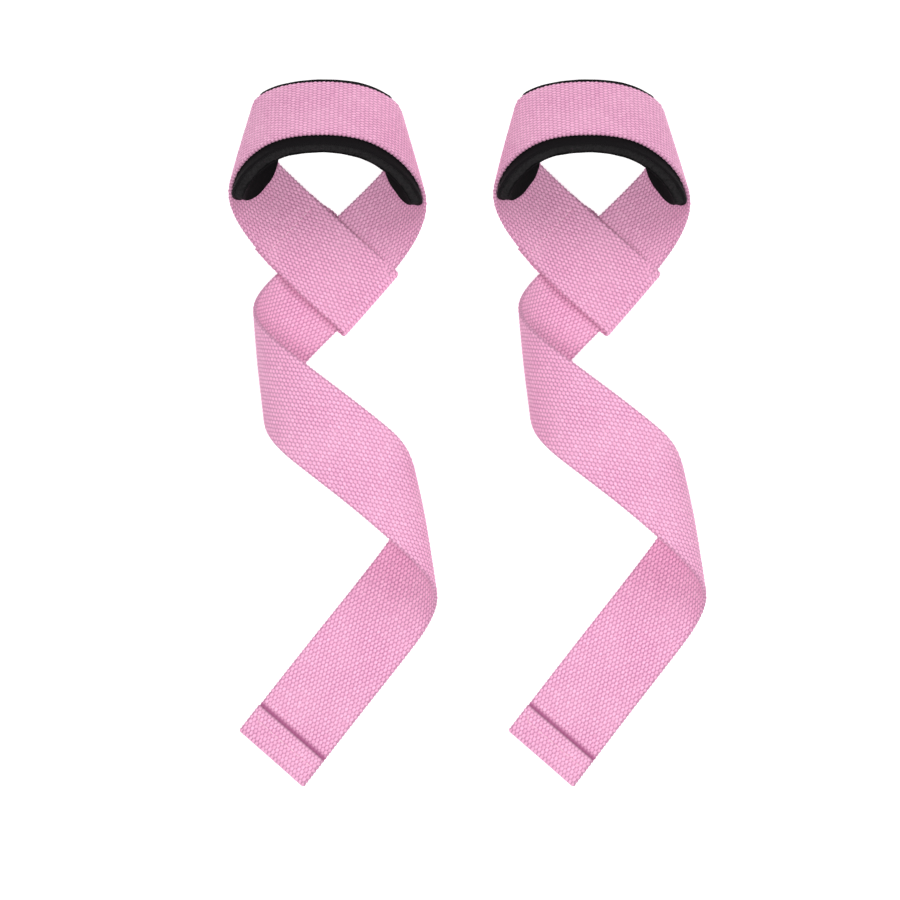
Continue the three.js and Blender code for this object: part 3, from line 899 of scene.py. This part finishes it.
def webbing_material():
    """Plain-woven cotton: dyed pink warp floats in brick order, with painted shade in the hollows
    between them and a painted highlight on their crowns.
    """
    look = WEBBING_LOOK
    shader = Shader("pink_webbing")
    cloth = shader.cloth_place()
    parts = shader.node("ShaderNodeSeparateXYZ", {0: cloth})
    along, across = parts.outputs[0], parts.outputs[1]
    wave_along = shader.ripple("COSINE", along, WEFT_PERIOD * METRES)
    wave_across = shader.ripple("COSINE", across, WARP_PERIOD * METRES)
    rows = shader.ripple("COSINE", along, WEFT_PERIOD * METRES / 2)
    bead = shader.total(shader.product(wave_along, wave_across), shader.product(rows, ROW_SHARE))

    turned = shader.node("ShaderNodeVectorRotate", {"Vector": cloth, "Angle": look["fibre_turn"]},
                         rotation_type="Z_AXIS").outputs[0]
    fibres = shader.noise(shader.stretch(turned, *look["fibre_scales"]), 1.0, 3.0, 0.6)
    patterns = {
        "bead": bead,
        "floats": shader.noise(shader.stretch(cloth, *look["float_scales"]), 1.0, 1.0),
        "patches": shader.noise(cloth, look["patch_scale"]),
        "fibres": fibres,
    }
    # painted shade in the hollows of the weave, from the same pattern as the floats
    raised = shader.spread(bead, *look["gap_to_yarn"])
    colour = shader.mix(raised, linear(*look["gap_painted_shade"]), linear(*look["yarn"]))
    # the first tint is a painted highlight on the floats' crowns
    for pattern, low, high, most, tint in WEBBING_TINTS:
        share = shader.spread(patterns[pattern], low, high, 0.0, most)
        colour = shader.mix(share, colour, linear(*tint))
    # painted shade along the edges and painted shadow beside the hem's raw edge, from vertex
    # attributes
    for mark, most, tint in WEBBING_MARKS:
        marked = shader.node("ShaderNodeAttribute", attribute_name=mark).outputs["Fac"]
        colour = shader.mix(shader.product(marked, most), colour, linear(*tint))

    yarn_height, fibre_height = look["yarn_and_fibre_height"]
    height = shader.total(shader.product(raised, yarn_height), shader.product(fibres, fibre_height))
    shader.bump(height, *look["bump"])
    roughness = shader.spread(fibres, *WIDE_NOISE, *look["roughness"])
    return shader.finish(colour, roughness, Sheen_Weight=0.16, Sheen_Roughness=0.5,
                         Sheen_Tint=linear(*look["sheen_tint"]), Specular_IOR_Level=0.25)


def thread_material():
    """Twisted sewing thread, a little lighter than the webbing, with painted shade in the grooves of
    its twist.
    """
    look = THREAD_LOOK
    shader = Shader("pink_thread")
    place_of = shader.object_place()
    inputs = {"Vector": place_of, "Scale": look["twist_scale"], "Distortion": look["twist_unevenness"]}
    twist = shader.node("ShaderNodeTexWave", inputs, bands_direction="DIAGONAL").outputs["Fac"]
    tone = shader.noise(place_of, look["tone_scale"])
    # painted shade in the twist's grooves, lighter on the strands
    colour = shader.mix(twist, linear(*look["groove"]), linear(*look["strand"]))
    share = shader.spread(tone, *MOST_NOISE, 0.0, look["fuzz_share"])
    colour = shader.mix(share, colour, linear(*look["fuzz"]))
    shader.bump(twist, *look["bump"])
    roughness = shader.spread(tone, *MOST_NOISE, *look["roughness"])
    return shader.finish(colour, roughness, Sheen_Weight=0.2)


def jersey_material(name, dark, light):
    """Fine black knit laminated to the foam, with a short nap. Its colour is partly painted shade in
    the hollows of the knit and partly the nap's random tone.
    """
    look = JERSEY_LOOK
    shader = Shader(name)
    cloth = shader.cloth_place()
    parts = shader.node("ShaderNodeSeparateXYZ", {0: cloth})
    wales = shader.ripple("SINE", parts.outputs[1], look["wale"])
    courses = shader.ripple("SINE", parts.outputs[0], look["course"])
    knit = shader.spread(shader.product(wales, courses), -1.0, 1.0)
    nap = shader.noise(cloth, look["nap_scale"], 3.0, 0.65)
    creases = shader.noise(shader.stretch(cloth, *look["crease_scales"]), 1.0, 3.0)
    # partly painted shade in the knit's hollows, partly the nap's random tone
    shade = shader.product(shader.total(knit, nap), 0.5)
    colour = shader.mix(shader.spread(shade, *look["dark_to_light"]), dark, light)
    knit_height, crease_height = look["knit_and_crease_height"]
    height = shader.total(shader.product(shade, knit_height), shader.product(creases, crease_height))
    shader.bump(height, *look["bump"])
    roughness = shader.spread(nap, *WIDE_NOISE, *look["roughness"])
    return shader.finish(colour, roughness, Sheen_Weight=0.015, Sheen_Roughness=0.4,
                         Specular_IOR_Level=0.07)


def foam_material():
    """Closed-cell rubber foam: a cut face with fine open pores, with painted shade in the pores and
    the walls between them lighter.
    """
    look = FOAM_LOOK
    shader = Shader("black_foam")
    place_of = shader.object_place()
    pores = shader.node("ShaderNodeTexVoronoi", {"Vector": place_of, "Scale": look["pore_scale"]},
                        feature="SMOOTH_F1").outputs["Distance"]
    grain = shader.noise(place_of, look["grain_scale"], 4.0, 0.7)
    lumps = shader.noise(place_of, look["lump_scale"])
    cell = shader.spread(pores, *look["pore_to_wall"])
    share = shader.spread(grain, *MOST_NOISE)
    colour = shader.mix(share, linear(*look["dark"]), linear(*look["light"]))
    # painted shade in the pores, lighter on the walls between them
    colour = shader.mix(shader.product(cell, look["wall_share"]), colour, linear(*look["wall"]))
    cell_height, grain_height, lump_height = look["cell_grain_and_lump_height"]
    height = shader.total(shader.product(cell, cell_height), shader.product(grain, grain_height))
    height = shader.total(height, shader.product(lumps, lump_height))
    shader.bump(height, *look["bump"])
    roughness = shader.spread(grain, *MOST_NOISE, *look["roughness"])
    return shader.finish(colour, roughness, Specular_IOR_Level=0.07)


def film_material():
    """The thin bonding film between the webbing and the pad."""
    look = FILM_LOOK
    shader = Shader("bonding_film")
    wrinkles = shader.noise(shader.object_place(), look["wrinkle_scale"], 3.0)
    share = shader.spread(wrinkles, *MOST_NOISE)
    colour = shader.mix(share, linear(*look["dark"]), linear(*look["light"]))
    shader.bump(wrinkles, *look["bump"])
    return shader.finish(colour, shader.spread(wrinkles, *WIDE_NOISE, *look["roughness"]))


def floor_material():
    """White table, evenly bright."""
    look = FLOOR_LOOK
    shader = Shader("white_table")
    grain = shader.noise(shader.object_place(), look["grain_scale"])
    dark, light = ((value, value, value, 1) for value in (look["dark"], look["light"]))
    colour = shader.mix(shader.spread(grain, *MOST_NOISE), dark, light)
    return shader.finish(colour, look["roughness"], Specular_IOR_Level=0.2,
                         Emission_Strength=look["glow"], Emission_Color=(1.0, 1.0, 1.0, 1.0))


# ---------- stage ----------
# The camera is aimed at a place measured from the left strap's crossing.
CAMERA = {"from_crossing": (52.2, -82.3, 4), "elevation": 75, "distance": 2000, "view_width": 402}
SENSOR_WIDTH = 36
FLOOR_SIZE = 3000
FLOOR_DROP = 0.2
WORLD_STRENGTH = 0.31
# Rows of (name, azimuth, elevation, distance, size, watts)
LIGHTS = (
    ("back_light", 165, 58, 1500, 1000, 8.4),
    ("front_light", 0, 70, 1500, 500, 12.0),
    ("left_light", -50, 40, 1500, 1000, 2.7),
    ("right_light", 50, 40, 1500, 1000, 2.7),
)


def direction_from(azimuth, elevation):
    """The unit vector towards a place: azimuth 0 is on the side of -Y, and 90 is on +X."""
    turn, rise = math.radians(azimuth), math.radians(elevation)
    level = math.cos(rise)
    return np.array((math.sin(turn) * level, -math.cos(turn) * level, math.sin(rise)))


def aim(thing, azimuth, elevation, distance, target):
    """Places an object and turns its -Z axis to the target."""
    thing.location = (np.array(target) + direction_from(azimuth, elevation) * distance) * METRES
    thing.rotation_euler = (math.radians(90 - elevation), 0, math.radians(azimuth))


def make_camera(scene):
    """A long lens towards the middle of the pair."""
    camera_data = bpy.data.cameras.new("camera")
    camera_data.sensor_width = SENSOR_WIDTH
    camera_data.lens = SENSOR_WIDTH * CAMERA["distance"] / CAMERA["view_width"]
    camera = bpy.data.objects.new("camera", camera_data)
    scene.collection.objects.link(camera)
    target = np.array((*ORIGIN, 0)) + np.array(CAMERA["from_crossing"])
    aim(camera, 0, CAMERA["elevation"], CAMERA["distance"], target)
    scene.camera = camera


def make_lights(scene):
    """Large soft lights and a white world."""
    for name, azimuth, elevation, distance, size, watts in LIGHTS:
        light_data = bpy.data.lights.new(name, "AREA")
        light_data.shape = "DISK"
        light_data.size = size * METRES
        light_data.energy = watts
        light = bpy.data.objects.new(name, light_data)
        scene.collection.objects.link(light)
        aim(light, azimuth, elevation, distance, (0, 0, 0))

    world = bpy.data.worlds.new("studio")
    world.use_nodes = True
    background = world.node_tree.nodes["Background"]
    background.inputs["Color"].default_value = (1, 1, 1, 1)
    background.inputs["Strength"].default_value = WORLD_STRENGTH
    scene.world = world
    scene.view_settings.view_transform = "Standard"


def make_stage():
    """Camera, lights, world and floor."""
    make_camera(bpy.context.scene)
    make_lights(bpy.context.scene)
    half = FLOOR_SIZE / 2
    plan = ((-half, -half), (half, -half), (half, half), (-half, half))
    corners = [(x, y, -FLOOR_DROP) for x, y in plan]
    floor = make_piece("floor", corners, [(0, 1, 2, 3)], floor_material(), False)


# ---------- the straps ----------
SLEEVE_ARC = math.pi * SLEEVE_FOLD["radius"]
SLEEVE_EDGE = SLEEVE_FOLD["at"] + SLEEVE_FOLD["radius"] + WEBBING_THICKNESS / 2
SLEEVE_SEAM_AT = SLEEVE_EDGE - SLEEVE["seam_back"]
FLAP_SEAM_AT = SLEEVE_FOLD["at"] + SLEEVE_ARC + (SLEEVE_FOLD["at"] - SLEEVE_SEAM_AT)
FLAP_END = SLEEVE_FOLD["at"] + SLEEVE_ARC + SLEEVE["straight"] + SLEEVE["flap_reach"]
HEM_ARC = math.pi * HEM_FOLD["radius"]
HEM_SEAM_AT = HEM_FOLD["at"] + HEM_ARC + HEM["seam_back"]
HEM_BACK_SEAM_AT = HEM_FOLD["at"] - HEM["seam_back"]
HEM_END = HEM_FOLD["at"] + HEM_ARC + HEM["turned"]

RAW_EDGE_AT = HEM_FOLD["at"] - HEM["turned"]
WEBBINGS = {
    "loop": {
        "fold": SLEEVE_FOLD,
        "start": -(CROSSING_AT - GAP / 2),
        "end": FLAP_END,
        "seed": 3,
        "seams": (SLEEVE_SEAM_AT, FLAP_SEAM_AT),
        "groove_and_painted_shadow": (),
    },
    "tail": {
        "fold": HEM_FOLD,
        "start": CROSSING_AT + GAP / 2,
        "end": HEM_END,
        "seed": 5,
        "seams": (HEM_SEAM_AT, HEM_BACK_SEAM_AT),
        # a shallow groove by the hem's raw edge, with painted shadow in the cloth's colour
        "groove_and_painted_shadow": ((RAW_EDGE_AT - GROOVE_AND_PAINTED_SHADOW["width"], RAW_EDGE_AT + GROOVE_AND_PAINTED_SHADOW["edge"]),),
    },
}

# The pad's layers from the webbing inwards. Lifts are above the webbing's middle, `inset` is kept
# from the outline, and an edge is rounded over `edge`. Waves are (length, height).
PAD_HALF_ACROSS = (PAD["far"] - PAD["near"]) / 2
EDGE_WAVES = ((61, 0.18), (23, 0.06), (9, 0.03))
FOAM_WAVES = ((61, 0.18), (17, 0.08), (5.3, 0.07), (2.1, 0.05))
PAD_LAYERS = (
    {"name": "bond_film", "finish": "film", "slot": "film", "lifts": (1.08, 1.2),
     "half_across": HALF_WIDTH, "inset": 3.5, "edge": 0.06, "seed": 11, "waves": ()},
    {"name": "outer_jersey", "finish": "outer_jersey", "slot": "jersey", "lifts": (1.22, 2.6),
     "half_across": PAD_HALF_ACROSS, "inset": 0, "edge": 0.75, "seed": 21, "waves": EDGE_WAVES},
    {"name": "foam_core", "finish": "foam", "slot": "foam", "lifts": (2.5, 6.4),
     "half_across": PAD_HALF_ACROSS, "inset": 0.25, "edge": 0.5, "seed": 21, "waves": FOAM_WAVES},
    {"name": "inner_jersey", "finish": "inner_jersey", "slot": "jersey", "lifts": (6.25, 6.85),
     "half_across": PAD_HALF_ACROSS, "inset": 0.1, "edge": 0.3, "seed": 21, "waves": EDGE_WAVES},
)

# Rows of (name, fold, place along, side of the cloth, body, seed, has a loose end)
SEAMS = (
    ("sleeve_needle", SLEEVE_FOLD, SLEEVE_SEAM_AT, 1, "cuff", 31, False),
    ("sleeve_bobbin", SLEEVE_FOLD, FLAP_SEAM_AT, 1, "cuff", 32, False),
    ("hem_needle", HEM_FOLD, HEM_SEAM_AT, -1, "tail", 33, True),
    ("hem_bobbin", HEM_FOLD, HEM_BACK_SEAM_AT, -1, "tail", 34, False),
)


def make_pieces(prefix, offset, materials):
    """The pieces of one strap by name, each as (piece, body, slot, node)."""
    pieces = {}
    for what, body in (("loop", "cuff"), ("tail", "tail")):
        piece = make_webbing(f"{prefix}_{what}_webbing", WEBBINGS[what], offset, materials["webbing"])
        pieces[what] = (piece, body, "webbing", f"webbing_{what}")
    for layer in PAD_LAYERS:
        what = layer["name"]
        piece = make_pad_layer(f"{prefix}_{what}", layer, offset, materials[layer["finish"]])
        pieces[what] = (piece, "cuff", layer["slot"], f"pad_{what}")
    for what, fold, at, lift_sign, body, seed, loose_end in SEAMS:
        piece = make_stitches(f"{prefix}_{what}_stitches", fold, at, lift_sign, offset,
                              materials["thread"], seed, loose_end)
        pieces[what] = (piece, body, "thread", f"{what}_thread")
    return pieces


def make_strap(prefix, offset, materials):
    """All the pieces of one strap, on its two bodies."""
    pieces = make_pieces(prefix, offset, materials)
    for piece, body, slot, node in pieces.values():
        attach(piece, f"{prefix}_{body}")
        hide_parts(f"{prefix}_{node}")


# ---------- the scene ----------
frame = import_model()
make_stage()
MATERIALS = {
    "webbing": webbing_material(),
    "thread": thread_material(),
    "outer_jersey": jersey_material("black_outer_jersey", linear(8, 6, 8), linear(27, 25, 27)),
    "inner_jersey": jersey_material("black_inner_jersey", linear(7, 6, 7), linear(22, 20, 22)),
    "foam": foam_material(),
    "film": film_material(),
}
make_strap("left", 0, MATERIALS)
make_strap("right", PAIR_SPACING, MATERIALS)
